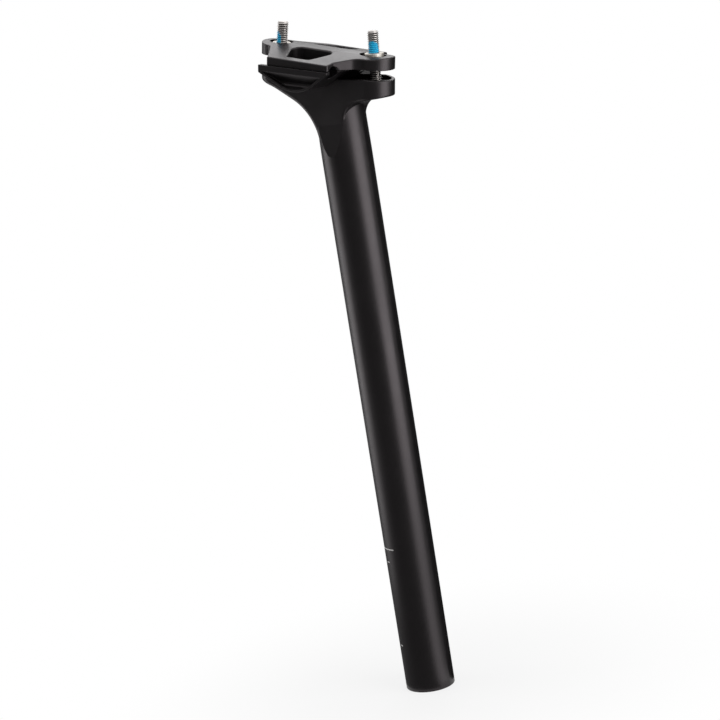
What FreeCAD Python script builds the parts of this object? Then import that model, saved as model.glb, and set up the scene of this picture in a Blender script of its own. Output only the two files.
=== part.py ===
import FreeCAD, Part
import math
import os
import re
import Sketcher

# A bicycle seatpost with a two-bolt saddle clamp.
# The post stands along +Z with its lower end at the origin, and +X points to the front of the bicycle.
# The clamp has its own frame at the middle of the saddle rails, tilted nose down with the saddle:
# in it X runs along the rails, Y across them and Z up out of the plate.

Vector = FreeCAD.Vector
doc = FreeCAD.newDocument("Seatpost")

# Driving dimensions, in millimetres and degrees
SIZES = [
    ("tube_diameter", 27.2, "outside of the tube, which the frame clamps"),
    ("tube_wall", 2.3, "wall of the tube"),
    ("rail_height", 348.4, "lower end to the middle of the rails"),
    ("clamp_setback", 3.6, "middle of the rails behind the axis of the tube"),
    ("clamp_tilt", 11, "nose-down tilt of the clamp"),
    ("bore_taper_drop", 50.4, "where the bore starts to narrow, below the rails"),
    ("bore_end_drop", 28.4, "top of the bore below the rails"),
    ("bore_end_radius", 6, "radius of the bore at its closed end"),
    ("rail_diameter", 7, "saddle rail"),
    ("rail_spacing", 44, "between the middles of the two rails"),
    ("bolt_spacing", 61.8, "between the bolts at the height of the rails"),
    ("bolt_lean", 4.4, "lean of each bolt towards the other"),
    ("bolt_diameter", 5, "M5 thread"),
    ("bolt_length", 30, "under the head to the tip"),
    ("bolt_tip_chamfer", 0.7, "chamfer of the bolt's tip"),
    ("bolt_head_diameter", 8.5, "socket head"),
    ("bolt_head_height", 5, "socket head"),
    ("bolt_head_chamfer", 0.5, "rim of the socket head"),
    ("bolt_hex", 4, "across the flats of the socket"),
    ("bolt_hex_depth", 2.6, "depth of the socket"),
    ("thread_gap", 0.05, "between the bolt and the nut's thread, on the radius"),
    ("washer_diameter", 10, "washer under the bolt head"),
    ("washer_thickness", 1, "washer under the bolt head"),
    ("bolt_hole_gap", 0.35, "round the bolt in the arm and the washer, on the radius"),
    ("recess_gap", 0.3, "round the washer in the arm's recess, on the radius"),
    ("seat_depth", 8.7, "washer's seat below the rails, along the bolt"),
    ("head_width", 21, "across the head's two flat sides"),
    ("head_wall", 1.8, "side walls of the head's open top"),
    ("rim_depth", 4, "rim of the arms below the rails, along the bolt"),
    ("rear_rim_fall", 1.3, "fall of the rear arm's rim, from the middle to its tip"),
    ("front_rim_fall", 1.5, "fall of the front arm's rim, from the bolt to its tip"),
    ("pocket_depth", 2.2, "floor of the arms below their rim"),
    ("front_tip_drop", 13, "lower corner of the front arm's tip below the rails"),
    ("rear_tip_drop", 11.7, "lower corner of the rear arm's tip below the rails"),
    ("rear_knee_x", 31, "knee of the rear arm's underside behind the rails' middle"),
    ("rear_knee_drop", 13.5, "knee of the rear arm's underside below the rails"),
    ("rear_slope", 34.3, "slope of the underside from the knee to the neck"),
    ("rear_knee_radius", 45, "round of the knee"),
    ("rear_sweep_radius", 30.7, "sweep from the rear arm into the neck"),
    ("neck_back", 9.8, "rear face of the web behind the axis, inside the tube"),
    ("neck_front", 9, "front face of the web ahead of the axis, inside the tube"),
    ("front_sweep_radius", 10.5, "round from the front arm into the neck"),
    ("front_underside_drop", 21.2, "front arm's underside at the neck, below the rails"),
    ("web_foot_drop", 46.4, "lower end of the web, inside the tube, below the rails"),
    ("neck_top_drop", 15.4, "top of the tube inside the head, below the rails"),
    ("neck_relief", 0.2, "neck's radius is this much less than the tube's"),
    ("flat_start_drop", 48.4, "end of the tube's full size, where the flat sides run out, below the rails"),
    ("flat_full_drop", 31.4, "where the flat sides are full, below the rails"),
    ("rear_edge_round", 2.4, "rounds of the rear arm's lower edges"),
    ("front_edge_round", 1.2, "rounds of the front arm's lower edges"),
    ("rim_round", 0.5, "rounds of the head's rim"),
    ("cradle_width", 56.8, "across the cradle"),
    ("cradle_rear", 24.5, "rear end of the cradle behind the rails' middle"),
    ("cradle_front", 20.4, "front end of the cradle ahead of the rails' middle"),
    ("cradle_top", 0.9, "top of the cradle above the middle of the rails"),
    ("cradle_bottom", 11.3, "lowest line of the cradle below the middle of the rails"),
    ("rock_radius", 22.3, "rocking face under the cradle"),
    ("rock_back", 1.6, "lowest line of the cradle behind the rails' middle"),
    ("rock_front_angle", 36.5, "where the rocking face ends in front"),
    ("rock_rear_angle", 24.8, "where the rocking face ends behind"),
    ("seat_rear_angle", 18, "where the head's seat ends behind"),
    ("seat_gap", 0.05, "between the cradle and its seat"),
    ("tongue_gap", 0.2, "between the cradle's tongue and the head's walls"),
    ("wall_gap", 0.3, "outside of the head's walls to the cradle's cheeks"),
    ("bridge_drop", 2.8, "roof of the slots for the head's walls below the rails"),
    ("lip_drop", 2.1, "lower edge of the cradle's lip below the rails"),
    ("cheek_wall", 1.2, "wall round the scoop in the cradle's side"),
    ("scoop_depth", 4.6, "depth of the scoop from the side"),
    ("scoop_apex_drop", 8, "deepest line of the scoop below the rails"),
    ("scoop_floor_fall", 2.4, "fall of the scoop's floor towards the outside"),
    ("scoop_round", 1.8, "rounding of the scoop's deepest line"),
    ("cradle_end_round", 0.8, "rounds of the cradle's lower ends"),
    ("cradle_rim_round", 0.4, "rounds of the cradle's outer rim"),
    ("relief_length", 24, "hollow in the top of the cradle, along the rails"),
    ("relief_width", 15, "hollow in the top of the cradle, across"),
    ("relief_depth", 4, "hollow in the top of the cradle"),
    ("relief_round", 3, "corners of the hollow"),
    ("plate_gap", 0.3, "between the closed plate and the cradle"),
    ("plate_thickness", 6.6, "plate at its crest"),
    ("sole_depth", 1.6, "stock left under the tilted plate, from which its underside is milled"),
    ("sole_ramp", 2, "ramp behind the wings from their sole to the underside of the rear end"),
    ("plate_tilt", 1.6, "nose-down tilt of the plate over the rails, as it rests on its nuts"),
    ("plate_raise", 0.6, "lift of the tilted plate at the rails' middle"),
    ("wing_length", 39.6, "plate's wings along the rails"),
    ("wing_width", 54.8, "across the plate's wings"),
    ("wing_drop", 3.5, "fall of each wing's top from the crest to its edge"),
    ("crest_width", 8, "flat crest of the plate"),
    ("crest_round", 8, "round from the flat crest into the wings"),
    ("spine_width", 20.8, "width of the plate's ends"),
    ("front_corner_x", 27.2, "corner between the front end and the wings, ahead of the rails' middle"),
    ("front_corner_inset", 6, "where the front corner's slant leaves the wing, from its edge"),
    ("front_corner_round", 6.5, "round of the front corner"),
    ("rear_corner_x", 30.2, "corner between the rear end and the wings, behind the rails' middle"),
    ("rear_corner_inset", 1.4, "where the rear corner's slant leaves the wing, from its edge"),
    ("rear_corner_round", 5, "round of the rear corner"),
    ("wing_corner", 1.2, "outer corners of the wings"),
    ("plate_edge_round", 0.7, "round of the plate's upper edge"),
    ("window_inner_front", 11.6, "window's inner front corner ahead of the rails' middle"),
    ("window_inner_rear", 18.4, "window's inner rear corner behind the rails' middle"),
    ("window_outer_front", 4.6, "window's outer front corner ahead of the rails' middle"),
    ("window_outer_rear", 9.8, "window's outer rear corner behind the rails' middle"),
    ("window_inner_side", 5.9, "window's inner side from the middle"),
    ("window_outer_side", 22.8, "window's outer side from the middle"),
    ("window_inner_round", 4.5, "inner corners of the window"),
    ("window_outer_round", 2.2, "outer corners of the window"),
    ("window_chamfer", 0.5, "bevel round the window"),
    ("track_shift", 0.7, "middle of a nut's track beside its bolt, towards the plate's middle"),
    ("track_length", 14.8, "oblong track of a nut, along the rails"),
    ("track_width", 10.8, "oblong track of a nut, across"),
    ("track_depth", 1.6, "track's floor below the plate's crest, at the bolt"),
    ("slot_length", 12, "oblong slot in the track's floor"),
    ("slot_width", 7.2, "oblong slot in the track's floor"),
    ("nut_flange_diameter", 10.2, "bright flange of the nut"),
    ("nut_flange_height", 2.4, "bright flange of the nut"),
    ("nut_flange_round", 0.4, "upper edge of the flange"),
    ("nut_key_width", 6.8, "flats of the nut's body in the slot"),
    ("nut_body_diameter", 8.4, "body of the nut below its flange"),
    ("nut_body_height", 3.4, "body of the nut below its flange"),
]
sheet = doc.addObject("Spreadsheet::Sheet", "Sizes")
for row, (alias, value, note) in enumerate(SIZES, 1):
    sheet.set("A%d" % row, note)
    sheet.set("B%d" % row, str(value))
    sheet.setAlias("B%d" % row, alias)
doc.recompute()
size = {alias: sheet.get(alias) for alias, value, note in SIZES}
ALIAS = re.compile(r"\b(" + "|".join(size) + r")\b")


def cells(words):
    """Turn a formula in the sheet's own words into one that other objects can follow."""
    return ALIAS.sub(r"Sizes.\1", words)


def bind(item, **formulas):
    """Tie properties of an object to formulas in the sheet's words."""
    for name, words in formulas.items():
        item.setExpression(name, cells(words))
    return item


# Frames of the clamp and of the two bolts
clamp_frame = FreeCAD.Placement(
    Vector(-size["clamp_setback"], 0, size["rail_height"]),
    FreeCAD.Rotation(Vector(0, 1, 0), size["clamp_tilt"]),
)
in_clamp = {}
in_post = {}
for end, side in (("front", 1), ("rear", -1)):
    in_clamp[end] = FreeCAD.Placement(
        Vector(side * size["bolt_spacing"] / 2, 0, 0),
        FreeCAD.Rotation(Vector(0, 1, 0), -side * size["bolt_lean"]),
    )
    in_post[end] = clamp_frame.multiply(in_clamp[end])


def turn_about_axis(place, height=0):
    """The same frame, moved along its own Z axis."""
    return place.multiply(FreeCAD.Placement(Vector(0, 0, height), FreeCAD.Rotation()))


def clamp_point(along, up):
    """Formulas for a point of the clamp's frame, seen in the post's XZ plane."""
    return (
        f"-clamp_setback + ({along}) * cos(clamp_tilt) + ({up}) * sin(clamp_tilt)",
        f"rail_height - ({along}) * sin(clamp_tilt) + ({up}) * cos(clamp_tilt)",
    )


def rim_up(along, depth="rim_depth"):
    """Height, in the clamp's frame, of a plane square to a bolt, at a distance from the middle."""
    return f"-({depth}) / cos(bolt_lean) + (({along}) - bolt_spacing / 2) * tan(bolt_lean)"


def outline(body, name, role, points):
    """A closed outline of straight lines, on a body's own plane, with each corner tied to its formulas."""
    sketch = body.newObject("Sketcher::SketchObject", name)
    plane = [item for item in body.Origin.OriginFeatures if item.Role == role][0]
    sketch.AttachmentSupport = [(plane, "")]
    sketch.MapMode = "FlatFace"
    count = len(points)
    start = []
    for index in range(count):
        angle = 2 * math.pi * index / count
        start.append(Vector(50 * math.cos(angle), 50 * math.sin(angle), 0))
    for index in range(count):
        sketch.addGeometry(Part.LineSegment(start[index], start[(index + 1) % count]), False)
    for index in range(count):
        sketch.addConstraint(Sketcher.Constraint("Coincident", index, 2, (index + 1) % count, 1))
    for index, (across, up) in enumerate(points):
        for kind, words, first in (("DistanceX", across, start[index].x), ("DistanceY", up, start[index].y)):
            place = sketch.addConstraint(Sketcher.Constraint(kind, -1, 1, index, 1, first))
            sketch.setExpression("Constraints[%d]" % place, cells(words))
    return sketch


def pad(body, name, sketch, length, both_ways=True):
    """Material along the sketch's normal."""
    feature = body.newObject("PartDesign::Pad", name)
    feature.Profile = sketch
    feature.SideType = "Symmetric" if both_ways else "One side"
    return bind(feature, Length=length)


def turned(body, name, sketch):
    """Material turned about the Z axis."""
    feature = body.newObject("PartDesign::Revolution", name)
    feature.Profile = sketch
    axis = [item for item in body.Origin.OriginFeatures if item.Role == "Z_Axis"][0]
    feature.ReferenceAxis = (axis, [""])
    feature.Angle = 360
    return feature


def prism(name, role, points, length, place=None):
    """A body that is one straight prism, as a tool for cutting."""
    body = doc.addObject("PartDesign::Body", name)
    pad(body, name + "_length", outline(body, name + "_outline", role, points), length)
    if place is not None:
        body.Placement = place
    doc.recompute()
    return body


def edges_where(feature, test):
    """Names of a feature's edges that pass a test."""
    return ["Edge%d" % number for number, edge in enumerate(feature.Shape.Edges, 1) if test(edge)]


def round_edges(body, name, feature, test, radius, kind="PartDesign::Fillet", field="Radius"):
    """Round, or bevel, the edges of a body's last feature that pass a test."""
    doc.recompute()
    rounding = body.newObject(kind, name)
    rounding.Base = (feature, edges_where(feature, test))
    bind(rounding, **{field: radius})
    doc.recompute()
    return rounding


def cylinder(name, radius, height, place):
    """A round tool or piece whose axis starts at a place."""
    item = doc.addObject("Part::Cylinder", name)
    bind(item, Radius=radius, Height=height)
    item.Placement = place
    return item


def box(name, length, width, height, place):
    """A block centred on a place in X and Y, and standing on it in Z."""
    item = doc.addObject("Part::Box", name)
    bind(item, Length=length, Width=width, Height=height)
    doc.recompute()
    corner = Vector(-item.Length.Value / 2, -item.Width.Value / 2, 0)
    item.Placement = place.multiply(FreeCAD.Placement(corner, FreeCAD.Rotation()))
    return item


def oblong(name, length, width, height, place):
    """A straight-sided tool with round ends, standing on a place."""
    body = doc.addObject("PartDesign::Body", name)
    corners = [(f"{x} * ({length}) / 2", f"{y} * ({width}) / 2") for x, y in ((-1, -1), (1, -1), (1, 1), (-1, 1))]
    blank = pad(body, name + "_length", outline(body, name + "_outline", "XY_Plane", corners), height, False)
    round_edges(body, name + "_ends", blank, lambda edge: abs(direction(edge).z) > 0.999,
                f"({width}) / 2 - 0.02")
    body.Placement = place
    doc.recompute()
    return body


def join(name, items):
    """Several solids as one."""
    item = doc.addObject("Part::MultiFuse", name)
    item.Shapes = items
    return item


def cut(name, base, tools):
    """A solid less its tools."""
    item = doc.addObject("Part::Cut", name)
    item.Base = base
    item.Tool = tools[0] if len(tools) == 1 else join(name + "_tools", tools)
    doc.recompute()
    return item


def middle(edge):
    """Middle of an edge."""
    first, last = edge.ParameterRange
    return edge.valueAt((first + last) / 2)


def direction(edge):
    """Direction of an edge at its middle."""
    first, last = edge.ParameterRange
    return edge.tangentAt((first + last) / 2)


def side_axis(place, along, up, width):
    """Frame whose Z axis runs across the clamp, for a cylinder of a width centred on the middle."""
    start = FreeCAD.Placement(Vector(along, width / 2, up), FreeCAD.Rotation(Vector(1, 0, 0), 90))
    return place.multiply(start)


def make_post():
    """Head and tube, one forging."""
    body = doc.addObject("PartDesign::Body", "forging")
    tip = "bolt_spacing / 2 + head_width / 2"
    knee_x = "-clamp_setback - rear_knee_x * cos(clamp_tilt) - rear_knee_drop * sin(clamp_tilt)"
    knee_z = "rail_height + rear_knee_x * sin(clamp_tilt) - rear_knee_drop * cos(clamp_tilt)"
    neck_z = f"({knee_z}) - (-neck_back - ({knee_x})) * tan(rear_slope)"
    points = [
        clamp_point(f"-({tip})", rim_up(tip, "rim_depth + rear_rim_fall")),
        clamp_point("0", rim_up("0")),
        clamp_point("bolt_spacing / 2", rim_up("bolt_spacing / 2")),
        clamp_point(tip, rim_up(tip, "rim_depth + front_rim_fall")),
        clamp_point(tip, "-front_tip_drop"),
        ("neck_front", "rail_height - front_underside_drop"),
        ("neck_front", "rail_height - web_foot_drop"),
        ("-neck_back", "rail_height - web_foot_drop"),
        ("-neck_back", neck_z),
        (knee_x, knee_z),
        clamp_point(f"-({tip})", "-rear_tip_drop"),
    ]
    web = pad(body, "web", outline(body, "side_view", "XZ_Plane", points), "head_width")
    doc.recompute()
    upright = clamp_frame.Rotation.multVec(Vector(0, 0, 1))
    last = round_edges(body, "arm_tips", web, lambda edge: abs(direction(edge).dot(upright)) > 0.999
                       and abs(middle(edge).y) > 1 and abs(middle(edge).x) > size["bolt_spacing"] / 2,
                       "head_width / 2 - 0.05")
    knee = clamp_frame.multVec(Vector(-size["rear_knee_x"], 0, -size["rear_knee_drop"]))
    corner_z = knee.z - (-size["neck_back"] - knee.x) * math.tan(math.radians(size["rear_slope"]))
    front_corner = Vector(size["neck_front"], 0, size["rail_height"] - size["front_underside_drop"])
    corners = (
        ("front_sweep", front_corner, "front_sweep_radius"),
        ("rear_sweep", Vector(-size["neck_back"], 0, corner_z), "rear_sweep_radius"),
        ("rear_knee", knee, "rear_knee_radius"),
    )
    for name, corner, radius in corners:
        last = round_edges(body, name, last, lambda edge: middle(edge).distanceToPoint(corner) < 0.01, radius)
    back_to_clamp = clamp_frame.inverse()

    def underside(front):
        def test(edge):
            spot = middle(edge)
            beyond = spot.x > size["neck_front"] - 0.1 if front else spot.x < -size["neck_back"] + 0.1
            return beyond and back_to_clamp.multVec(spot).z < -size["front_tip_drop"] + 1.5 \
                and abs(direction(edge).y) < 0.99
        return test

    lean = math.radians(size["bolt_lean"])
    bolt_x = size["bolt_spacing"] / 2
    tip_x = bolt_x + size["head_width"] / 2
    at_bolt = -size["rim_depth"] / math.cos(lean)
    at_middle = at_bolt - bolt_x * math.tan(lean)
    at_tip = at_bolt + (tip_x - bolt_x) * math.tan(lean)
    rim_line = [
        (-tip_x, at_tip - size["rear_rim_fall"] / math.cos(lean)),
        (0, at_middle),
        (bolt_x, at_bolt),
        (tip_x, at_tip - size["front_rim_fall"] / math.cos(lean)),
    ]

    def top_rim(edge):
        spot = back_to_clamp.multVec(middle(edge))
        for (x0, up0), (x1, up1) in zip(rim_line, rim_line[1:]):
            if x0 <= spot.x <= x1:
                level = up0 + (up1 - up0) * (spot.x - x0) / (x1 - x0)
                return abs(spot.z - level) < 0.05 and abs(direction(edge).y) < 0.99
        return False

    last = round_edges(body, "rear_edges", last, underside(False), "rear_edge_round")
    last = round_edges(body, "front_edges", last, underside(True), "front_edge_round")
    last = round_edges(body, "rim_edges", last, top_rim, "rim_round")
    turned(body, "tube", outline(body, "tube_profile", "XZ_Plane", [
        ("0", "0"),
        ("tube_diameter / 2", "0"),
        ("tube_diameter / 2", "rail_height - flat_start_drop"),
        ("tube_diameter / 2 - neck_relief", "rail_height - flat_full_drop"),
        ("tube_diameter / 2 - neck_relief", "rail_height - neck_top_drop"),
        ("0", "rail_height - neck_top_drop"),
    ]))
    doc.recompute()
    bore = outline(body, "bore_profile", "XZ_Plane", [
        ("0", "-1"),
        ("tube_diameter / 2 - tube_wall", "-1"),
        ("tube_diameter / 2 - tube_wall", "rail_height - bore_taper_drop"),
        ("bore_end_radius", "rail_height - bore_end_drop - bore_end_radius / 2"),
        ("bore_end_radius / 2", "rail_height - bore_end_drop"),
        ("0", "rail_height - bore_end_drop"),
    ])
    hollow = body.newObject("PartDesign::Groove", "bore")
    hollow.Profile = bore
    axis = [item for item in body.Origin.OriginFeatures if item.Role == "Z_Axis"][0]
    hollow.ReferenceAxis = (axis, [""])
    hollow.Angle = 360
    doc.recompute()

    # The sides of the head are flat, and the flats run out on the round tube below it.
    flats = []
    for name, side in (("right", -1), ("left", 1)):
        flats.append(prism(name + "_flat", "YZ_Plane", [
            (f"{side} * head_width / 2", "rail_height - neck_top_drop + 1"),
            (f"{side} * head_width / 2", "rail_height - flat_full_drop"),
            (f"{side} * (tube_diameter / 2 + 0.01)", "rail_height - flat_start_drop"),
            (f"{side} * tube_diameter", "rail_height - flat_start_drop"),
            (f"{side} * tube_diameter", "rail_height - neck_top_drop + 1"),
        ], "tube_diameter + 2"))

    # The top of the head is open: side walls round a floor, with a concave seat in the middle.
    wide = "head_width - 2 * head_wall"
    inner_tip = f"bolt_spacing / 2 + ({wide}) / 2"
    seat = "rock_radius + seat_gap"
    seat_up = "rock_radius - cradle_bottom"
    line_x = f"-rock_back - ({seat}) * sin(seat_rear_angle)"
    line_up = f"({seat_up}) - ({seat}) * cos(seat_rear_angle)"
    far = "bolt_spacing / 4"
    pocket = prism("pocket", "XZ_Plane", [
        (f"-({inner_tip})", "rim_depth"),
        (f"-({inner_tip})", rim_up(inner_tip, "rim_depth + pocket_depth")),
        (f"-({far})", rim_up(far, "rim_depth + pocket_depth")),
        (line_x, line_up),
        ("bolt_spacing / 6", rim_up("bolt_spacing / 6", "rim_depth + pocket_depth")),
        (inner_tip, rim_up(inner_tip, "rim_depth + pocket_depth")),
        (inner_tip, "rim_depth"),
    ], wide, clamp_frame)
    pocket_pad = pocket.Tip
    round_edges(pocket, "pocket_ends", pocket_pad,
                lambda edge: abs(direction(edge).z) > 0.999 and abs(middle(edge).y) > 1,
                f"({wide}) / 2 - 0.05")
    width = size["head_width"] - 2 * size["head_wall"]
    seat_place = side_axis(clamp_frame, -size["rock_back"], size["rock_radius"] - size["cradle_bottom"], width)
    tools = flats + [pocket, cylinder("seat", seat, wide, seat_place)]

    # Each arm has a hole for its bolt, and a round recess from below for the bolt's head and washer.
    for end in ("front", "rear"):
        start = turn_about_axis(in_post[end], -size["seat_depth"] - 1)
        tools.append(cylinder(end + "_hole", "bolt_diameter / 2 + bolt_hole_gap", "seat_depth", start))
        low = turn_about_axis(in_post[end], -3 * size["seat_depth"])
        tools.append(cylinder(end + "_recess", "washer_diameter / 2 + recess_gap", "2 * seat_depth", low))
    return cut("post", body, tools)


def make_lower_cradle():
    """Half-moon cradle with two rail grooves, in the clamp's frame."""
    centre_up = "rock_radius - cradle_bottom"
    half = "(rock_front_angle + rock_rear_angle) / 2"
    turn = "(rock_front_angle - rock_rear_angle) / 2"

    def side_view(inset, top, front):
        reach = f"(rock_radius - ({inset})) / cos({half})"
        low_x = f"-rock_back + {reach} * sin({turn})"
        low_up = f"{centre_up} - {reach} * cos({turn})"
        rear = f"-(cradle_rear - ({inset}))"
        rear_low = f"{low_up} + ({low_x} - ({rear})) * tan(rock_rear_angle)"
        points = [(rear, top), (rear, rear_low), (low_x, low_up)]
        if front:
            points.append((front, f"{low_up} + ({front} - ({low_x})) * tan(rock_front_angle)"))
            points.append((front, top))
        else:
            points.append((f"{low_x} + (({top}) - ({low_up})) / tan(rock_front_angle)", top))
        return points

    def rocking_edge(edge):
        return abs(direction(edge).y) > 0.999 and middle(edge).z < -size["cradle_bottom"] + 1

    blank = prism("cradle_blank", "XZ_Plane", side_view("0", "cradle_top", "cradle_front"), "cradle_width")
    rocker = round_edges(blank, "rocking_face", blank.Tip, rocking_edge, "rock_radius")
    outer = size["cradle_width"] / 2
    rounded = round_edges(blank, "cradle_ends", rocker,
                          lambda edge: abs(direction(edge).y) > 0.999 and middle(edge).z > -4
                          and middle(edge).z < 0, "cradle_end_round")
    rounded = round_edges(blank, "cradle_rims", rounded,
                          lambda edge: abs(abs(middle(edge).y) - outer) < 0.01
                          and middle(edge).z < size["cradle_top"] - 0.1, "cradle_rim_round")

    # Two slots for the head's side walls leave a tongue between them that rocks in the seat.
    tools = []
    inner = "head_width / 2 - head_wall - tongue_gap"
    for name, side in (("right", -1), ("left", 1)):
        tools.append(prism(name + "_wall_slot", "YZ_Plane", [
            (f"{side} * ({inner})", "-bridge_drop"),
            (f"{side} * (head_width / 2 + wall_gap)", "-bridge_drop"),
            (f"{side} * (head_width / 2 + wall_gap)", "-cradle_bottom - 1"),
            (f"{side} * ({inner})", "-cradle_bottom - 1"),
        ], "2 * (cradle_rear + 1)"))

    # Rail grooves are round below and straight above the middle of the rails.
    for name, side in (("right", -1), ("left", 1)):
        start = FreeCAD.Placement(
            Vector(-size["cradle_rear"] - 1, side * size["rail_spacing"] / 2, 0),
            FreeCAD.Rotation(Vector(0, 1, 0), 90),
        )
        tools.append(cylinder(name + "_lower_groove", "rail_diameter / 2", "cradle_rear + cradle_front + 2", start))
        flat = FreeCAD.Placement(
            Vector((size["cradle_front"] - size["cradle_rear"]) / 2, side * size["rail_spacing"] / 2, 0),
            FreeCAD.Rotation(),
        )
        tools.append(box(name + "_groove_walls", "cradle_rear + cradle_front + 2", "rail_diameter", "cradle_top + 1", flat))

    # A half-moon scoop lightens each cheek.
    for name, side in (("right", -1), ("left", 1)):
        ceiling = "(scoop_apex_drop - lip_drop) / scoop_depth"
        floor = "scoop_floor_fall / scoop_depth"
        moon = prism(name + "_half_moon", "XZ_Plane", side_view("cheek_wall", "-lip_drop / 2", None),
                     "cradle_width + 4")
        round_edges(moon, name + "_moon_face", moon.Tip, rocking_edge, "rock_radius - cheek_wall")
        wedge = prism(name + "_wedge", "YZ_Plane", [
            (f"{side} * (cradle_width / 2 + 1)", f"-lip_drop + {ceiling}"),
            (f"{side} * (cradle_width / 2 - scoop_depth)", "-scoop_apex_drop"),
            (f"{side} * (cradle_width / 2 + 1)", f"-scoop_apex_drop - scoop_floor_fall - {floor}"),
        ], "2 * (cradle_rear + 1)")
        round_edges(wedge, name + "_apex", wedge.Tip,
                    lambda edge: abs(direction(edge).x) > 0.999
                    and abs(abs(middle(edge).y) - outer + size["scoop_depth"]) < 0.01, "scoop_round")
        scoop = doc.addObject("Part::MultiCommon", name + "_scoop")
        scoop.Shapes = [moon, wedge]
        tools.append(scoop)

    # A hollow in the top, under the plate's windows, saves weight.
    hollow = prism("hollow", "XY_Plane", [
        ("-relief_length / 2", "-relief_width / 2"),
        ("relief_length / 2", "-relief_width / 2"),
        ("relief_length / 2", "relief_width / 2"),
        ("-relief_length / 2", "relief_width / 2"),
    ], "2 * (relief_depth - cradle_top)")
    round_edges(hollow, "hollow_corners", hollow.Tip, lambda edge: abs(direction(edge).z) > 0.999, "relief_round")
    tools.append(hollow)
    return cut("lower_cradle", blank, tools)


def make_upper_clamp():
    """Cross-shaped plate over the rails, with a window in each wing and a track for each nut."""
    under = "cradle_top + plate_gap"
    top = f"{under} + plate_thickness"
    body = doc.addObject("PartDesign::Body", "plate")
    spine = "spine_width / 2"
    tip = "bolt_spacing / 2 + spine_width / 2"
    wing = "wing_length / 2"
    edge_y = "wing_width / 2"
    plan = [
        (tip, spine),
        ("front_corner_x", spine),
        (wing, "wing_width / 2 - front_corner_inset"),
        (wing, edge_y),
        (f"-{wing}", edge_y),
        (f"-{wing}", "wing_width / 2 - rear_corner_inset"),
        ("-rear_corner_x", spine),
        (f"-({tip})", spine),
    ]
    plan += [(x, f"-({y})") for x, y in reversed(plan)]
    sketch = outline(body, "plan", "XY_Plane", plan)
    bind(sketch, **{"AttachmentOffset.Base.z": f"{under} - sole_depth"})
    last = pad(body, "plate_blank", sketch, "plate_thickness + sole_depth", False)
    doc.recompute()
    wing_x = size["wing_length"] / 2
    spine_y = size["spine_width"] / 2
    wing_y = size["wing_width"] / 2

    def upright_at(x, y):
        return lambda edge: (abs(direction(edge).z) > 0.999 and abs(abs(middle(edge).x) - x) < 0.01
                             and abs(abs(middle(edge).y) - y) < 0.01)

    tip_x = size["bolt_spacing"] / 2 + spine_y
    last = round_edges(body, "ends", last, upright_at(tip_x, spine_y), "spine_width / 2 - 0.05")
    last = round_edges(body, "front_corners", last, upright_at(size["front_corner_x"], spine_y), "front_corner_round")
    last = round_edges(body, "rear_corners", last, upright_at(size["rear_corner_x"], spine_y), "rear_corner_round")
    last = round_edges(body, "wing_corners", last, upright_at(wing_x, wing_y), "wing_corner")
    fall = "wing_drop / (wing_width / 2 - crest_width / 2)"
    for name, side in (("right", -1), ("left", 1)):
        slope = outline(body, name + "_slope_outline", "YZ_Plane", [
            (f"{side} * crest_width / 2", top),
            (f"{side} * (wing_width / 2 + 1)", f"{top} - (wing_width / 2 + 1 - crest_width / 2) * {fall}"),
            (f"{side} * (wing_width / 2 + 1)", f"{top} + 1"),
            (f"{side} * crest_width / 2", f"{top} + 1"),
        ])
        last = body.newObject("PartDesign::Pocket", name + "_slope")
        last.Profile = slope
        last.SideType = "Symmetric"
        bind(last, Length=f"2 * ({tip}) + 2")
    doc.recompute()
    plate_top = size["cradle_top"] + size["plate_gap"] + size["plate_thickness"]
    slope_fall = size["wing_drop"] / (size["wing_width"] / 2 - size["crest_width"] / 2)

    def on_roof(edge):
        spot = middle(edge)
        roof = plate_top - max(0, abs(spot.y) - size["crest_width"] / 2) * slope_fall
        return abs(spot.z - roof) < 0.02

    last = round_edges(body, "crest", last,
                       lambda edge: abs(direction(edge).x) > 0.999
                       and abs(abs(middle(edge).y) - size["crest_width"] / 2) < 0.01
                       and middle(edge).z > plate_top - 0.01, "crest_round")

    def outer_rim(edge):
        spot = middle(edge)
        inside = abs(direction(edge).x) > 0.999 and abs(spot.y) < spine_y - 0.1
        return spot.z > plate_top - size["wing_drop"] - 0.05 and not inside and abs(direction(edge).z) < 0.9

    last = round_edges(body, "upper_edge", last, outer_rim, "plate_edge_round")

    # The windows follow the wings: long beside the middle and short beside the rails.
    for name, side in (("right", -1), ("left", 1)):
        window = outline(body, name + "_window_outline", "XY_Plane", [
            ("-window_inner_rear", f"{side} * window_inner_side"),
            ("window_inner_front", f"{side} * window_inner_side"),
            ("window_outer_front", f"{side} * window_outer_side"),
            ("-window_outer_rear", f"{side} * window_outer_side"),
        ])
        last = body.newObject("PartDesign::Pocket", name + "_window")
        last.Profile = window
        last.SideType = "Symmetric"
        bind(last, Length=f"2 * ({top}) + 2")
    doc.recompute()

    def in_window(spot):
        return (-size["window_inner_rear"] - 0.1 < spot.x < size["window_inner_front"] + 0.1
                and size["window_inner_side"] - 0.1 < abs(spot.y) < size["window_outer_side"] + 0.1)

    for name, side, radius in (("inner", "window_inner_side", "window_inner_round"),
                               ("outer", "window_outer_side", "window_outer_round")):
        last = round_edges(body, name + "_window_corners", last,
                           lambda edge: abs(direction(edge).z) > 0.999 and in_window(middle(edge))
                           and abs(abs(middle(edge).y) - size[side]) < 0.01, radius)
    last = round_edges(body, "window_bevel", last,
                       lambda edge: on_roof(edge) and in_window(middle(edge)), "window_chamfer",
                       "PartDesign::Chamfer", "Size")

    # The plate's top tilts a little; its wings' sole, the grooves and the tracks stay true to the rails.
    body.Placement = FreeCAD.Placement(Vector(0, 0, size["plate_raise"]),
                                       FreeCAD.Rotation(Vector(0, 1, 0), size["plate_tilt"]))

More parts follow.
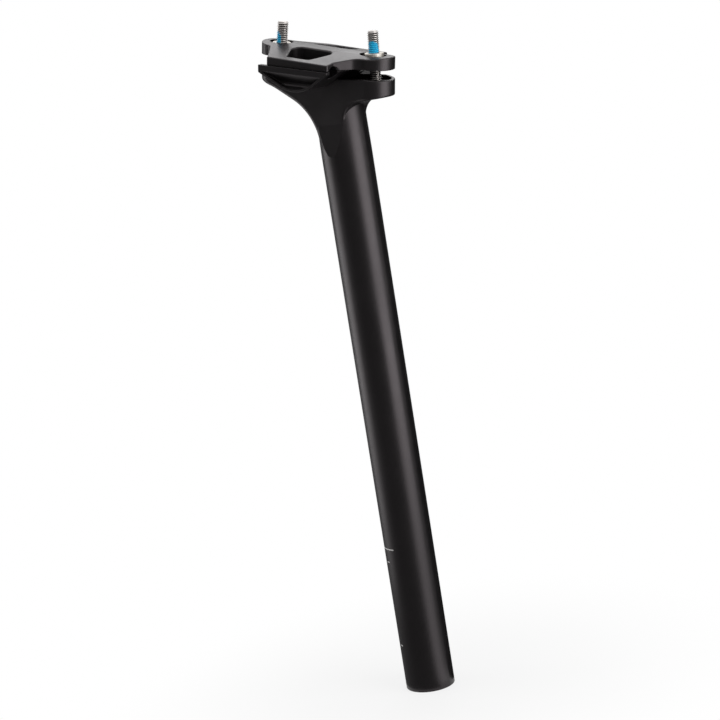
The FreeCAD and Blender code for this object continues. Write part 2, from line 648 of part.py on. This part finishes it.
    def under_end(along):
        return f"{under} + plate_raise - ({along}) * tan(plate_tilt)"

    ramp = f"-({wing}) - sole_ramp"
    tools = [prism("sole", "XZ_Plane", [
        (f"-({tip}) - 1", "-plate_thickness"),
        (f"-({tip}) - 1", under_end(f"-({tip}) - 1")),
        (ramp, under_end(ramp)),
        (f"-({wing})", under),
        (wing, under),
        (f"({tip}) + 1", under_end(f"({tip}) + 1")),
        (f"({tip}) + 1", "-plate_thickness"),
    ], "wing_width + 2")]
    for name, side in (("right", -1), ("left", 1)):
        start = FreeCAD.Placement(
            Vector(-wing_x - size["rail_diameter"], side * size["rail_spacing"] / 2, 0),
            FreeCAD.Rotation(Vector(0, 1, 0), 90),
        )
        tools.append(cylinder(name + "_upper_groove", "rail_diameter / 2", "wing_length + 2 * rail_diameter", start))
    for end, side in (("front", 1), ("rear", -1)):
        shift = FreeCAD.Placement(Vector(-side * size["track_shift"], 0, 0), FreeCAD.Rotation())
        place = in_clamp[end].multiply(shift)
        floor = turn_about_axis(place, track_floor)
        tools.append(oblong(end + "_track", "track_length", "track_width", "2 * track_depth", floor))
        through = turn_about_axis(place, -size["plate_thickness"] / 2)
        tools.append(oblong(end + "_slot", "slot_length", "slot_width", "2 * plate_thickness", through))
    return cut("upper_clamp", body, tools)


def make_bolt(end):
    """M5 x 30 socket head bolt, standing up from its arm through the plate."""
    body = doc.addObject("PartDesign::Body", end + "_bolt_blank")
    profile = outline(body, end + "_bolt_profile", "XZ_Plane", [
        ("0", "-bolt_head_height"),
        ("bolt_head_diameter / 2 - bolt_head_chamfer", "-bolt_head_height"),
        ("bolt_head_diameter / 2", "-bolt_head_height + bolt_head_chamfer"),
        ("bolt_head_diameter / 2", "0"),
        ("bolt_diameter / 2", "0"),
        ("bolt_diameter / 2", "bolt_length - bolt_tip_chamfer"),
        ("bolt_diameter / 2 - bolt_tip_chamfer", "bolt_length"),
        ("0", "bolt_length"),
    ])
    turned(body, end + "_bolt_turned", profile)
    socket = doc.addObject("Part::Prism", end + "_hex")
    socket.Polygon = 6
    bind(socket, Circumradius="bolt_hex / 2 / cos(30)", Height="bolt_hex_depth + 1")
    socket.Placement = FreeCAD.Placement(Vector(0, 0, -size["bolt_head_height"] - 1), FreeCAD.Rotation())
    bolt = cut(end + "_bolt", body, [socket])
    bolt.Placement = turn_about_axis(in_post[end], -size["seat_depth"] - size["washer_thickness"])
    return bolt


def make_washer(end):
    """Washer between the bolt's head and the arm."""
    place = turn_about_axis(in_post[end], -size["seat_depth"] - size["washer_thickness"])
    disc = cylinder(end + "_disc", "washer_diameter / 2", "washer_thickness", place)
    through = turn_about_axis(place, -1)
    hole = cylinder(end + "_washer_hole", "bolt_diameter / 2 + bolt_hole_gap / 2", "washer_thickness + 2", through)
    return cut(end + "_washer", disc, [hole])


def make_nut(end):
    """Bright flanged nut; flats on its body keep it from turning in the plate's slot."""
    body = doc.addObject("PartDesign::Body", end + "_nut")
    profile = outline(body, end + "_nut_profile", "XZ_Plane", [
        ("bolt_diameter / 2 + thread_gap", "-nut_body_height"),
        ("nut_body_diameter / 2", "-nut_body_height"),
        ("nut_body_diameter / 2", "0"),
        ("nut_flange_diameter / 2", "0"),
        ("nut_flange_diameter / 2", "nut_flange_height"),
        ("bolt_diameter / 2 + thread_gap", "nut_flange_height"),
    ])
    last = turned(body, end + "_nut_turned", profile)
    doc.recompute()
    rim = size["nut_flange_diameter"] / 2
    last = round_edges(body, end + "_nut_rim", last,
                       lambda edge: abs(middle(edge).z - size["nut_flange_height"]) < 0.01
                       and abs(math.hypot(middle(edge).x, middle(edge).y) - rim) < 0.01, "nut_flange_round")
    for name, side in (("right", -1), ("left", 1)):
        flat = outline(body, end + name + "_key_outline", "YZ_Plane", [
            (f"{side} * nut_key_width / 2", "0"),
            (f"{side} * nut_body_diameter", "0"),
            (f"{side} * nut_body_diameter", "-nut_body_height - 1"),
            (f"{side} * nut_key_width / 2", "-nut_body_height - 1"),
        ])
        last = body.newObject("PartDesign::Pocket", end + name + "_key")
        last.Profile = flat
        last.SideType = "Symmetric"
        bind(last, Length="2 * nut_body_diameter")
    body.Placement = turn_about_axis(in_post[end], track_floor)
    doc.recompute()
    return body


# Height of the track's floor along each bolt, from the plate's crest down
plate_crest = size["cradle_top"] + size["plate_gap"] + size["plate_thickness"]
track_floor = plate_crest / math.cos(math.radians(size["bolt_lean"])) - size["track_depth"]

post = make_post()
cradle = make_lower_cradle()
plate = make_upper_clamp()
cradle.Placement = clamp_frame
plate.Placement = clamp_frame
finished = [post, cradle, plate]
for end in ("front", "rear"):
    finished += [make_bolt(end), make_washer(end), make_nut(end)]

# Check the document, then write each piece
doc.recompute()
for item in doc.Objects:
    if "Invalid" in item.State or "Error" in item.State:
        raise RuntimeError("%s is not valid: %s" % (item.Name, item.State))
os.makedirs("parts", exist_ok=True)
for item in finished:
    if item.Shape.isNull() or not item.Shape.isValid():
        raise RuntimeError("%s has no valid shape" % item.Label)
    item.Shape.exportStep("parts/%s.step" % item.Label)
    print(item.Label, len(item.Shape.Solids), round(item.Shape.Volume), item.Shape.BoundBox)
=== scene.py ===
import math
import bpy
import numpy as np
from mathutils import Matrix, Vector


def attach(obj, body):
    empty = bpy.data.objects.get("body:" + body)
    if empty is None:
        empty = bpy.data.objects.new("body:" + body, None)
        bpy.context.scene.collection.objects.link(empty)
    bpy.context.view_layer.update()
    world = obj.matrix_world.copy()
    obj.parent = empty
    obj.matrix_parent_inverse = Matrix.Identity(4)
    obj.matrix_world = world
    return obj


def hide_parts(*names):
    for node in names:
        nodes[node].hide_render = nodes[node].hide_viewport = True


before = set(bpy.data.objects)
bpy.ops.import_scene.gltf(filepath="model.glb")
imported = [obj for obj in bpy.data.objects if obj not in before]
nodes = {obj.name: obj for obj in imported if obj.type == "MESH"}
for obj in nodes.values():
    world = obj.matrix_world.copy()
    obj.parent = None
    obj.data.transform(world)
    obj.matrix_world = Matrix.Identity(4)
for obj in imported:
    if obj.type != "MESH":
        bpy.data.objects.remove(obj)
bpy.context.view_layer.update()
scene = bpy.context.scene
scene.view_settings.view_transform = "Standard"

# The view: a long lens a little over a metre away, ahead of the post on its right, looking down about
# eleven degrees. It is rolled nine degrees, so that the upright post leans in the picture.
camera_turn = math.radians(38)
camera_height = math.radians(10.9)
camera_roll = math.radians(-9.08)
camera_distance = 1.12532
aim_height = 0.18838
aim_left = 0.01054
lens_length = 103.688
sensor_width = 36
camera_right = Vector((math.cos(camera_turn), math.sin(camera_turn), 0))
camera_back = Vector((
    math.sin(camera_turn) * math.cos(camera_height),
    -math.cos(camera_turn) * math.cos(camera_height),
    math.sin(camera_height),
))
camera_up = camera_back.cross(camera_right)
across = camera_right * math.cos(camera_roll) + camera_up * math.sin(camera_roll)
upward = camera_up * math.cos(camera_roll) - camera_right * math.sin(camera_roll)
lens = bpy.data.cameras.new("camera")
lens.lens = lens_length
lens.sensor_width = sensor_width
lens.clip_end = 60
camera = bpy.data.objects.new("camera", lens)
scene.collection.objects.link(camera)
place = Matrix((across, upward, camera_back)).transposed().to_4x4()
place.translation = Vector((0, 0, aim_height)) - camera_right * aim_left + camera_back * camera_distance
camera.matrix_world = place
scene.camera = camera


# The studio: a white world and a white matt floor that the post stands on. The floor shows the camera
# mostly its own white. Near the post part of what it shows is lit, so that the post's soft shadow stays.
studio_fill = 0.45
floor_reach = 12.0
floor_paper_grey = 0.82
shadow_start, shadow_end = 0.02, 0.20
white_near_post = 0.8
white = (1, 1, 1, 1)


def wire(tree, source, target):
    """Joins an output socket to an input socket."""
    tree.links.new(source, target)


def node(tree, kind, **settings):
    """A node with its properties and unjoined inputs set by name, an underscore standing for a space."""
    made = tree.nodes.new(kind)
    for name, value in settings.items():
        if hasattr(made, name):
            setattr(made, name, value)
        else:
            made.inputs[name.replace("_", " ")].default_value = value
    return made


def math_node(tree, operation, first, second=None, third=None):
    """One sum of the node tree; numbers are set on it and sockets are joined to it."""
    made = node(tree, "ShaderNodeMath", operation=operation)
    for socket, value in zip(made.inputs, (first, second, third)):
        if value is None:
            continue
        if isinstance(value, (int, float)):
            socket.default_value = value
        else:
            wire(tree, value, socket)
    return made.outputs[0]


def blend_shaders(tree, share, first, second):
    """The second shader at a share of 1, and the first at 0."""
    choice = node(tree, "ShaderNodeMixShader")
    for socket, source in zip(choice.inputs, (share, first.outputs[0], second.outputs[0])):
        wire(tree, source, socket)
    return choice


def seen_directly(tree):
    """One for rays of the camera, of glossy reflections and of transmission, and zero for the rest."""
    path = node(tree, "ShaderNodeLightPath")
    glossy = math_node(tree, "MAXIMUM", path.outputs["Is Glossy Ray"], path.outputs["Is Transmission Ray"])
    return math_node(tree, "MAXIMUM", path.outputs["Is Camera Ray"], glossy)


def empty_material(name):
    """A material whose node tree is still empty, and that tree."""
    made = bpy.data.materials.new(name)
    made.use_nodes = True
    made.node_tree.nodes.clear()
    return made, made.node_tree


def set_surface(tree, shader):
    """Makes a shader the surface of its material."""
    wire(tree, shader.outputs[0], node(tree, "ShaderNodeOutputMaterial").inputs["Surface"])


world = bpy.data.worlds.new("white_studio")
scene.world = world
world.use_nodes = True
tree = world.node_tree
tree.nodes.clear()
fill = node(tree, "ShaderNodeBackground", Color=white, Strength=studio_fill)
backdrop = node(tree, "ShaderNodeBackground", Color=white, Strength=1.0)
sky = blend_shaders(tree, seen_directly(tree), fill, backdrop)
wire(tree, sky.outputs[0], node(tree, "ShaderNodeOutputWorld").inputs["Surface"])

corners = [(-1, -1), (1, -1), (1, 1), (-1, 1)]
floor_mesh = bpy.data.meshes.new("floor")
floor_mesh.from_pydata([(x * floor_reach, y * floor_reach, 0) for x, y in corners], [], [(0, 1, 2, 3)])
floor = bpy.data.objects.new("floor", floor_mesh)
scene.collection.objects.link(floor)
floor_paper, tree = empty_material("floor_paper")
matt = node(tree, "ShaderNodeBsdfDiffuse", Color=(floor_paper_grey, floor_paper_grey, floor_paper_grey, 1))
bright = node(tree, "ShaderNodeEmission", Color=white, Strength=1.0)
away = node(tree, "ShaderNodeVectorMath", operation="LENGTH")
wire(tree, node(tree, "ShaderNodeTexCoord").outputs["Object"], away.inputs[0])
fade = node(tree, "ShaderNodeMapRange", interpolation_type="SMOOTHSTEP", From_Min=shadow_start,
            From_Max=shadow_end, To_Min=white_near_post, To_Max=1.0)
wire(tree, away.outputs["Value"], fade.inputs["Value"])
share = math_node(tree, "MULTIPLY", seen_directly(tree), fade.outputs[0])
set_surface(tree, blend_shaders(tree, share, matt, bright))
floor_mesh.materials.append(floor_paper)


# The lamps: soft boxes ahead of the post, behind it on the right, low on its left, and high behind the head
# for the top of the clamp plate. Between them stand black, grey and pale flags that only reflections see, so
# that the black metal keeps its dark bands on the white floor. A bright card lies ahead of the foot.
def soft_box(name, azimuth, elevation, distance, width, height, power, aim):
    """A rectangular lamp on a sphere round a point of the post at the height of aim, facing it."""
    lamp = bpy.data.lights.new(name, "AREA")
    lamp.shape = "RECTANGLE"
    lamp.size = width
    lamp.size_y = height
    lamp.energy = power
    holder = bpy.data.objects.new(name, lamp)
    scene.collection.objects.link(holder)
    turn, rise = math.radians(azimuth), math.radians(elevation)
    outward = Vector((math.cos(turn) * math.cos(rise), math.sin(turn) * math.cos(rise), math.sin(rise)))
    sideways = Vector((-math.sin(turn), math.cos(turn), 0))
    stand = Matrix((sideways, outward.cross(sideways), outward)).transposed().to_4x4()
    stand.translation = Vector((0, 0, aim)) + outward * distance
    holder.matrix_world = stand
    holder.visible_camera = False


soft_box("front_box", azimuth=2, elevation=0, distance=0.5, width=0.40, height=0.62, power=2.05, aim=0.30)
soft_box("rear_box", azimuth=-160, elevation=0, distance=0.5, width=0.34, height=0.62, power=0.78, aim=0.30)
soft_box("top_box", azimuth=124, elevation=34, distance=0.9, width=0.7, height=0.5, power=1.5, aim=0.34)
soft_box("back_box", azimuth=116, elevation=0, distance=0.5, width=0.25, height=0.30, power=0.5, aim=0.15)


def flag(name, glow, strips, steps=30):
    """Cloth or card of one glow, seen by reflections alone.

    Each strip is a first and a last azimuth and two rings, each of a radius and a height: the surface
    runs straight from the lower ring to the upper one over that range of azimuth."""
    points, faces = [], []
    for first, last, *rings in strips:
        turn = np.radians(np.linspace(first, last, steps + 1))
        circle = np.stack([np.cos(turn), np.sin(turn)], 1)
        start = sum(len(part) for part in points)
        points += [np.column_stack([circle * radius, np.full(steps + 1, height)]) for radius, height in rings]
        faces += [(i, i + 1, i + steps + 2, i + steps + 1) for i in range(start, start + steps)]
    mesh = bpy.data.meshes.new(name)
    mesh.from_pydata(np.concatenate(points).tolist(), [], faces)
    cloth, tree = empty_material(name)
    set_surface(tree, node(tree, "ShaderNodeEmission", Color=white, Strength=glow))
    mesh.materials.append(cloth)
    made = bpy.data.objects.new(name, mesh)
    scene.collection.objects.link(made)
    made.visible_camera = False
    made.visible_diffuse = False
    made.visible_transmission = False
    made.visible_shadow = False


foot = (0.015, 0.001)
low, left_high, rear_high, right_high = (0.22, 0.001), (0.22, 0.405), (0.22, 0.436), (0.22, 0.42)
head_low, head_middle, head_high = (0.10, 0.290), (0.10, 0.308), (0.10, 0.40)
card_near, card_far = (0.02, 0.0012), (0.40, 0.0012)
flag("black_flag", 0.02, [(28, 104, low, left_high), (28, 140, foot, low)])
flag("grey_flag", 0.18, [
    (104, 123, low, left_high), (123, 182, low, rear_high), (-116, -25, low, right_high),
    (140, 190, foot, low), (-170, -25, foot, low),
])
flag("pale_flag", 0.34, [(-140, -116, low, right_high)])
flag("head_flag", 0.09, [(-142, -95, head_low, head_high), (-165, -142, head_middle, head_high)])
flag("floor_card", 1.6, [(-15, 11, card_near, card_far)])


# The post: one aluminium forging, tube and head in one, blasted to a fine satin and anodised black. Its
# print is a plain white line round the back half that marks the least insertion, with two ticks under it.
dark_anodising, pale_anodising = (0.0030, 0.0028, 0.0029), (0.0050, 0.0047, 0.0049)
dusty_anodising = (0.014, 0.0135, 0.0137)
rubbed_anodising = (0.022, 0.021, 0.022)
warm_gloss = (1.0, 0.90, 0.94, 1)
edge_width = 0.00045
white_print = (0.62, 0.61, 0.60)
print_edge_x = -0.0008
line_height, line_half_width = 0.0826, 0.00030
tick_heights, tick_half_width = (0.0750, 0.0263), 0.00028
tick_x, tick_half_length = -0.0068, 0.0012


def grain(tree, where, scale, detail, stretch=(1, 1, 1)):
    """Noise in the object's own metres, stretched along the axes."""
    spread = node(tree, "ShaderNodeMapping", Scale=stretch)
    wire(tree, where, spread.inputs["Vector"])
    noise = node(tree, "ShaderNodeTexNoise", Scale=scale, Detail=detail)
    wire(tree, spread.outputs[0], noise.inputs["Vector"])
    return noise.outputs["Fac"]


def spread_to(tree, value, low, high, from_low=0.3, from_high=0.7):
    """A value from one range carried to another; the first range is a noise's usual one."""
    ramp = node(tree, "ShaderNodeMapRange", From_Min=from_low, From_Max=from_high, To_Min=low, To_Max=high)
    wire(tree, value, ramp.inputs["Value"])
    return ramp.outputs[0]


def mix_colour(tree, share, first, second):
    """Two colours, mixed by a share from 0 to 1; each is a colour or a socket."""
    mix = node(tree, "ShaderNodeMix", data_type="RGBA")
    wire(tree, share, mix.inputs["Factor"])
    for socket, value in ((mix.inputs[6], first), (mix.inputs[7], second)):
        if isinstance(value, tuple):
            socket.default_value = (*value, 1)
        else:
            wire(tree, value, socket)
    return mix.outputs[2]


def anodised(name, satin, drawn, print_lines=None):
    """Black anodised aluminium: cloudy roughness, blasted grain in the bump, and rubbed edges.

    satin is the roughness, drawn the strength of fine streaks along the Z axis, and print_lines turns
    the object's coordinates into a mask of printed marks. An edge is where the normal of the surface
    with its edges rounded off leaves the real one, so that their dot product falls below one."""
    skin, tree = empty_material(name)
    where = node(tree, "ShaderNodeTexCoord").outputs["Object"]
    clouds = grain(tree, where, scale=38, detail=3)
    blasted = grain(tree, where, scale=5200, detail=2)
    handled = grain(tree, where, scale=420, detail=5)
    streaks = grain(tree, where, scale=1400, detail=3, stretch=(1, 1, 0.02))
    dust = grain(tree, where, scale=2600, detail=1)

    rounded = node(tree, "ShaderNodeBevel", samples=6, Radius=edge_width)
    plain = node(tree, "ShaderNodeNewGeometry")
    agree = node(tree, "ShaderNodeVectorMath", operation="DOT_PRODUCT")
    wire(tree, rounded.outputs[0], agree.inputs[0])
    wire(tree, plain.outputs["Normal"], agree.inputs[1])
    edge = spread_to(tree, agree.outputs["Value"], 1, 0, from_low=0.86, from_high=0.995)
    patchy = spread_to(tree, handled, 0.25, 1, from_low=0.35, from_high=0.65)
    rubbed = math_node(tree, "MULTIPLY", edge, patchy)

    base = mix_colour(tree, clouds, dark_anodising, pale_anodising)
    dusty = spread_to(tree, dust, 0, 0.35, from_low=0.62, from_high=0.8)
    base = mix_colour(tree, dusty, base, dusty_anodising)
    base = mix_colour(tree, math_node(tree, "MULTIPLY", rubbed, 0.5), base, rubbed_anodising)
    rough = math_node(tree, "ADD", spread_to(tree, clouds, satin - 0.035, satin + 0.035),
                      spread_to(tree, handled, -0.02, 0.02))
    rough = math_node(tree, "SUBTRACT", rough, math_node(tree, "MULTIPLY", rubbed, 0.07))
    height = math_node(tree, "ADD", blasted, math_node(tree, "MULTIPLY", streaks, drawn))
    if print_lines:
        mask = print_lines(tree, where)
        left_on = spread_to(tree, handled, 0.72, 1, from_low=0.3, from_high=0.42)
        base = mix_colour(tree, math_node(tree, "MULTIPLY", mask, left_on), base, white_print)
        height = math_node(tree, "ADD", height, math_node(tree, "MULTIPLY", mask, 1.5))

    bump = node(tree, "ShaderNodeBump", Strength=0.28, Distance=0.00003)
    wire(tree, height, bump.inputs["Height"])
    wire(tree, rounded.outputs[0], bump.inputs["Normal"])
    shader = node(tree, "ShaderNodeBsdfPrincipled", Metallic=0.0, Specular_Tint=warm_gloss)
    wire(tree, base, shader.inputs["Base Color"])
    wire(tree, rough, shader.inputs["Roughness"])
    wire(tree, bump.outputs[0], shader.inputs["Normal"])
    set_surface(tree, shader)
    return skin


def insertion_marks(tree, where):
    """Mask of a line 0.6 mm thick over the back half of the tube, and of two ticks under it."""
    axes = node(tree, "ShaderNodeSeparateXYZ")
    wire(tree, where, axes.inputs[0])
    x, y, z = axes.outputs
    mask = math_node(tree, "MULTIPLY", math_node(tree, "COMPARE", z, line_height, line_half_width),
                     math_node(tree, "LESS_THAN", x, print_edge_x))
    for height in tick_heights:
        tick = math_node(tree, "MULTIPLY", math_node(tree, "COMPARE", z, height, tick_half_width),
                         math_node(tree, "COMPARE", x, tick_x, tick_half_length))
        mask = math_node(tree, "MAXIMUM", mask, tick)
    return mask


def finish_node(name, skin):
    """Gives a carried-over piece its material."""
    piece = nodes[name]
    if not piece.material_slots:
        piece.data.materials.append(skin)
    for slot in piece.material_slots:
        slot.material = skin


finish_node("post", anodised("post_anodised", satin=0.37, drawn=0.9, print_lines=insertion_marks))


# The lower cradle: forged aluminium with the rail grooves cut in, rocking in the head's seat. It has the
# same black anodising as the post, a little rougher.
finish_node("lower_cradle", anodised("cradle_anodised", satin=0.39, drawn=0.0))


# The upper clamp plate: forged aluminium, its windows and tracks milled out before it was anodised with
# the cradle. It lies on the rails and is drawn down by the nuts.
finish_node("upper_clamp", anodised("plate_anodised", satin=0.38, drawn=0.0))


# The two bolts: stainless steel, 30 mm long with a small 8.5 mm socket head and a rolled 6 mm thread of
# 1 mm pitch, passed up through the arms into the nuts. Each has a patch of blue locking compound baked on
# its thread, part of the way round.
bolt_radius = 0.003
bolt_reach = 0.0299
bolt_pitch = 0.001
thread_depth = 0.0006
thread_slope, thread_flat = 2.7, 0.1
thread_start, thread_runout = 0.0024, 0.001
tip_chamfer = 0.0009
plain_shank, head_fillet = 0.0016, 0.0002
head_radius, head_height = 0.00425, 0.005
bearing_edge, rim_round = 0.0001, 0.0005
knurl_start, knurl_end, knurl_share = 0.0006, 0.001, 0.012
hex_apothem, hex_depth = 0.002, 0.0026
hex_chamfer, hex_cone = 0.00025, 0.0002
clamp_middle = Vector((-0.0036, 0, 0.3484))
clamp_tilt = math.radians(11)
bolt_spacing = 0.0618
bolt_lean = math.radians(4.4)
bolt_seat = 0.0087 + 0.001
patch_half_turn = math.radians(78)
patch_middle, patch_half_height = 0.0181, 0.0063
patch_edge = 1.5
# The last colour on each of the next two lines is painted shade for the roots of the thread.
worn_steel, bright_steel, root_shade_steel = (0.54, 0.51, 0.49), (0.60, 0.57, 0.55), (0.022, 0.020, 0.019)
deep_blue, bright_blue, root_shade_blue = (0.014, 0.50, 0.82), (0.020, 0.56, 0.90), (0.003, 0.10, 0.20)


def bolt_frame(side):
    """The bolt's own axes and the middle of its head's bearing face, from the clamp's frame."""
    clamp = Matrix.Translation(clamp_middle) @ Matrix.Rotation(clamp_tilt, 4, "Y")
    stand = Matrix.Translation((side * bolt_spacing / 2, 0, 0)) @ Matrix.Rotation(-side * bolt_lean, 4, "Y")
    return clamp @ stand @ Matrix.Translation((0, 0, -bolt_seat))


def bolt_surface(turns=60, steps=12):
    """Rows of rings from the middle of the tip to the middle of the socket, and each point's root depth.

    Along the shank the radius is the outer radius less the depth times a trapezium wave of
    (height / pitch - angle / full turn), which is a right-hand helix; the wave fades out at both ends.
    The root depth is how far the thread lies under the outer radius, as a share of the thread's depth.
    The socket's rings have radius apothem / cos(angle from the nearest flat's middle)."""
    angle = np.arange(turns) * 2 * np.pi / turns
    count = int(round((bolt_reach - thread_start) / bolt_pitch * steps))
    height = np.linspace(bolt_reach, thread_start, count)
    phase = (height[:, None] / bolt_pitch - angle[None, :] / (2 * np.pi)) % 1
    wave = np.clip(np.abs(phase - 0.5) * thread_slope - thread_flat, 0, 1)
    fade = np.clip((height - thread_start) / thread_runout, 0, 1)[:, None]
    outer = np.minimum(bolt_radius, bolt_radius - tip_chamfer + (bolt_reach - height))[:, None]
    shank = np.minimum(outer, bolt_radius - thread_depth * (1 - wave) * fade)
    root = np.clip((outer - shank) / thread_depth, 0, 1)

    round_ring = np.ones(turns)
    knurled = head_radius * (1 - knurl_share * (np.arange(turns) % 2))
    flat = (angle + np.pi / 6) % (np.pi / 3) - np.pi / 6
    hexagon = hex_apothem / np.cos(flat)
    rim = -head_height
    bottom = rim + hex_depth
    tip = [((bolt_radius - tip_chamfer) * round_ring * share, bolt_reach) for share in (0.45, 0.9, 0.97)]
    neck = [
        (bolt_radius * round_ring, plain_shank), (bolt_radius * round_ring, head_fillet),
        ((bolt_radius + head_fillet) * round_ring, 0.0),
        ((head_radius - bearing_edge) * round_ring, 0.0), (head_radius * round_ring, -bearing_edge),
    ]
    grip = [(knurled, level) for level in np.linspace(-knurl_start, rim + knurl_end, 5)]
    socket = [
        (head_radius * round_ring, rim + rim_round),
        ((head_radius - 0.4 * rim_round) * round_ring, rim + 0.3 * rim_round),
        ((head_radius - rim_round) * round_ring, rim),
        (hexagon + hex_chamfer, rim), (hexagon, rim + hex_chamfer), (hexagon, rim + 0.6 * hex_depth),
        (hexagon, bottom), (0.5 * hexagon, bottom + hex_cone),
    ]
    rings = tip + list(zip(shank, height)) + neck + grip + socket
    radius = np.array([ring[0] for ring in rings])
    level = np.array([ring[1] for ring in rings])
    depth = np.zeros((len(rings), turns))
    depth[len(tip):len(tip) + count] = root

    points = np.stack([radius * np.cos(angle), radius * np.sin(angle),
                       np.broadcast_to(level[:, None], radius.shape)], 2).reshape(-1, 3)
    points = np.concatenate([points, [(0, 0, bolt_reach), (0, 0, bottom + 2 * hex_cone)]])
    tip_middle, socket_middle = len(points) - 2, len(points) - 1
    column = np.arange(turns)
    after = (column + 1) % turns
    start = np.arange(len(rings) - 1)[:, None] * turns
    quads = np.stack([start + column, start + turns + column, start + turns + after, start + after], 2)
    last = (len(rings) - 1) * turns
    ends = np.concatenate([np.stack([np.full(turns, tip_middle), column, after], 1),
                           np.stack([np.full(turns, socket_middle), last + after, last + column], 1)])
    return points, quads.reshape(-1, 4), ends, np.append(depth.ravel(), (0, 0))


def threaded_bolt(name, side, patch_turn):
    """One bolt in its place, with its thread's root depth and the nearness to its patch as attributes.

    The compound is centred on patch_turn round the axis, reaches 78 degrees to each side and covers the
    thread from 11.8 to 24.4 mm above the head. The nearness is a constant less the superellipse of
    power 3 of the angle and the height from the patch's middle, each as a share of its half."""
    points, quads, ends, depth = bolt_surface()
    turn = np.arctan2(points[:, 1], points[:, 0])
    aside = ((turn - math.radians(patch_turn) + np.pi) % (2 * np.pi) - np.pi) / patch_half_turn
    above = (points[:, 2] - patch_middle) / patch_half_height
    reach = (np.abs(aside) ** 3 + np.abs(above) ** 3) ** (1 / 3)
    stand = np.array(bolt_frame(side))
    placed = points @ stand[:3, :3].T + stand[:3, 3]
    mesh = bpy.data.meshes.new(name)
    mesh.from_pydata(placed.tolist(), [], quads.tolist() + ends.tolist())
    mesh.polygons.foreach_set("use_smooth", np.ones(len(mesh.polygons), bool))
    for attribute, values in (("patch", patch_edge - reach), ("root", depth)):
        mesh.attributes.new(attribute, "FLOAT", "POINT").data.foreach_set("value", values.astype(np.float32))
    bolt = bpy.data.objects.new(name, mesh)
    scene.collection.objects.link(bolt)
    return bolt


def bolt_finish(name):
    """Stainless steel, rougher in the roots of the thread and with painted shade there, with the blue
    compound over it.
    """
    skin, tree = empty_material(name)
    where = node(tree, "ShaderNodeTexCoord").outputs["Object"]
    specks = grain(tree, where, scale=1800, detail=4)
    clouds = grain(tree, where, scale=260, detail=3)
    root = node(tree, "ShaderNodeAttribute", attribute_name="root").outputs["Fac"]
    patch = node(tree, "ShaderNodeAttribute", attribute_name="patch").outputs["Fac"]
    steel = mix_colour(tree, clouds, worn_steel, bright_steel)
    # Painted shade: the roots of the thread are darkened towards near black steel by their depth.
    root_shade_share = spread_to(tree, root, 0, 1, from_low=0.35, from_high=0.75)
    steel = mix_colour(tree, root_shade_share, steel, root_shade_steel)
    ragged = math_node(tree, "ADD", patch, spread_to(tree, specks, -0.12, 0.12))
    blue_share = spread_to(tree, ragged, 0, 1, from_low=0.46, from_high=0.54)
    blue = mix_colour(tree, specks, deep_blue, bright_blue)
    # Painted shade: the blue compound is darkened in the roots of the thread as well.
    blue = mix_colour(tree, math_node(tree, "MULTIPLY", root, 0.55), blue, root_shade_blue)
    rough = math_node(tree, "ADD", spread_to(tree, specks, 0.26, 0.34),
                      math_node(tree, "MULTIPLY", root, 0.25))
    bump = node(tree, "ShaderNodeBump", Strength=0.10, Distance=0.00003)
    wire(tree, specks, bump.inputs["Height"])
    metal = node(tree, "ShaderNodeBsdfPrincipled", Metallic=1.0)
    wire(tree, steel, metal.inputs["Base Color"])
    wire(tree, rough, metal.inputs["Roughness"])
    wire(tree, bump.outputs[0], metal.inputs["Normal"])
    compound = node(tree, "ShaderNodeBsdfPrincipled", Metallic=0.0, Roughness=0.45)
    wire(tree, blue, compound.inputs["Base Color"])
    wire(tree, bump.outputs[0], compound.inputs["Normal"])
    set_surface(tree, blend_shaders(tree, blue_share, metal, compound))
    return skin


thread_steel = bolt_finish("thread_steel")
for end, side, patch_turn in (("front", 1, -70), ("rear", -1, -143)):
    bolt = threaded_bolt(end + "_threaded_bolt", side, patch_turn)
    bolt.data.materials.append(thread_steel)
    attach(bolt, "root")
    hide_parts(end + "_bolt")


# The nuts: turned stainless steel, each with a bright flange that lies in an oblong track of the plate
# and a flatted body that the slot under it keeps from turning. A bolt is screwed into each from below.
nut_steel = (0.64, 0.61, 0.56)
grimy_steel = (0.20, 0.19, 0.18)


def turned_steel(name, colour, satin):
    """Bright steel with soft smears, fine scratches and a little grime; satin is its roughness."""
    skin, tree = empty_material(name)
    where = node(tree, "ShaderNodeTexCoord").outputs["Object"]
    smears = grain(tree, where, scale=500, detail=3)
    scratches = grain(tree, where, scale=3200, detail=2, stretch=(0.25, 1, 1))
    grime = grain(tree, where, scale=900, detail=4)
    smeared = tuple(value * 0.85 for value in colour)
    base = mix_colour(tree, smears, smeared, colour)
    grimy = spread_to(tree, grime, 0, 0.4, from_low=0.62, from_high=0.78)
    base = mix_colour(tree, grimy, base, grimy_steel)
    rough = spread_to(tree, smears, satin - 0.06, satin + 0.08)
    bump = node(tree, "ShaderNodeBump", Strength=0.2, Distance=0.00002)
    wire(tree, scratches, bump.inputs["Height"])
    shader = node(tree, "ShaderNodeBsdfPrincipled", Metallic=1.0)
    wire(tree, base, shader.inputs["Base Color"])
    wire(tree, rough, shader.inputs["Roughness"])
    wire(tree, bump.outputs[0], shader.inputs["Normal"])
    set_surface(tree, shader)
    return skin


nut_finish = turned_steel("nut_finish", nut_steel, satin=0.50)
finish_node("front_nut", nut_finish)
finish_node("rear_nut", nut_finish)


# The washers: plain stainless steel rings, one under each bolt's head. They lie in the recesses of the
# arms, where they can be seen only from straight below.
washer_steel = (0.60, 0.59, 0.58)
washer_finish = turned_steel("washer_finish", washer_steel, satin=0.32)
finish_node("front_washer", washer_finish)
finish_node("rear_washer", washer_finish)
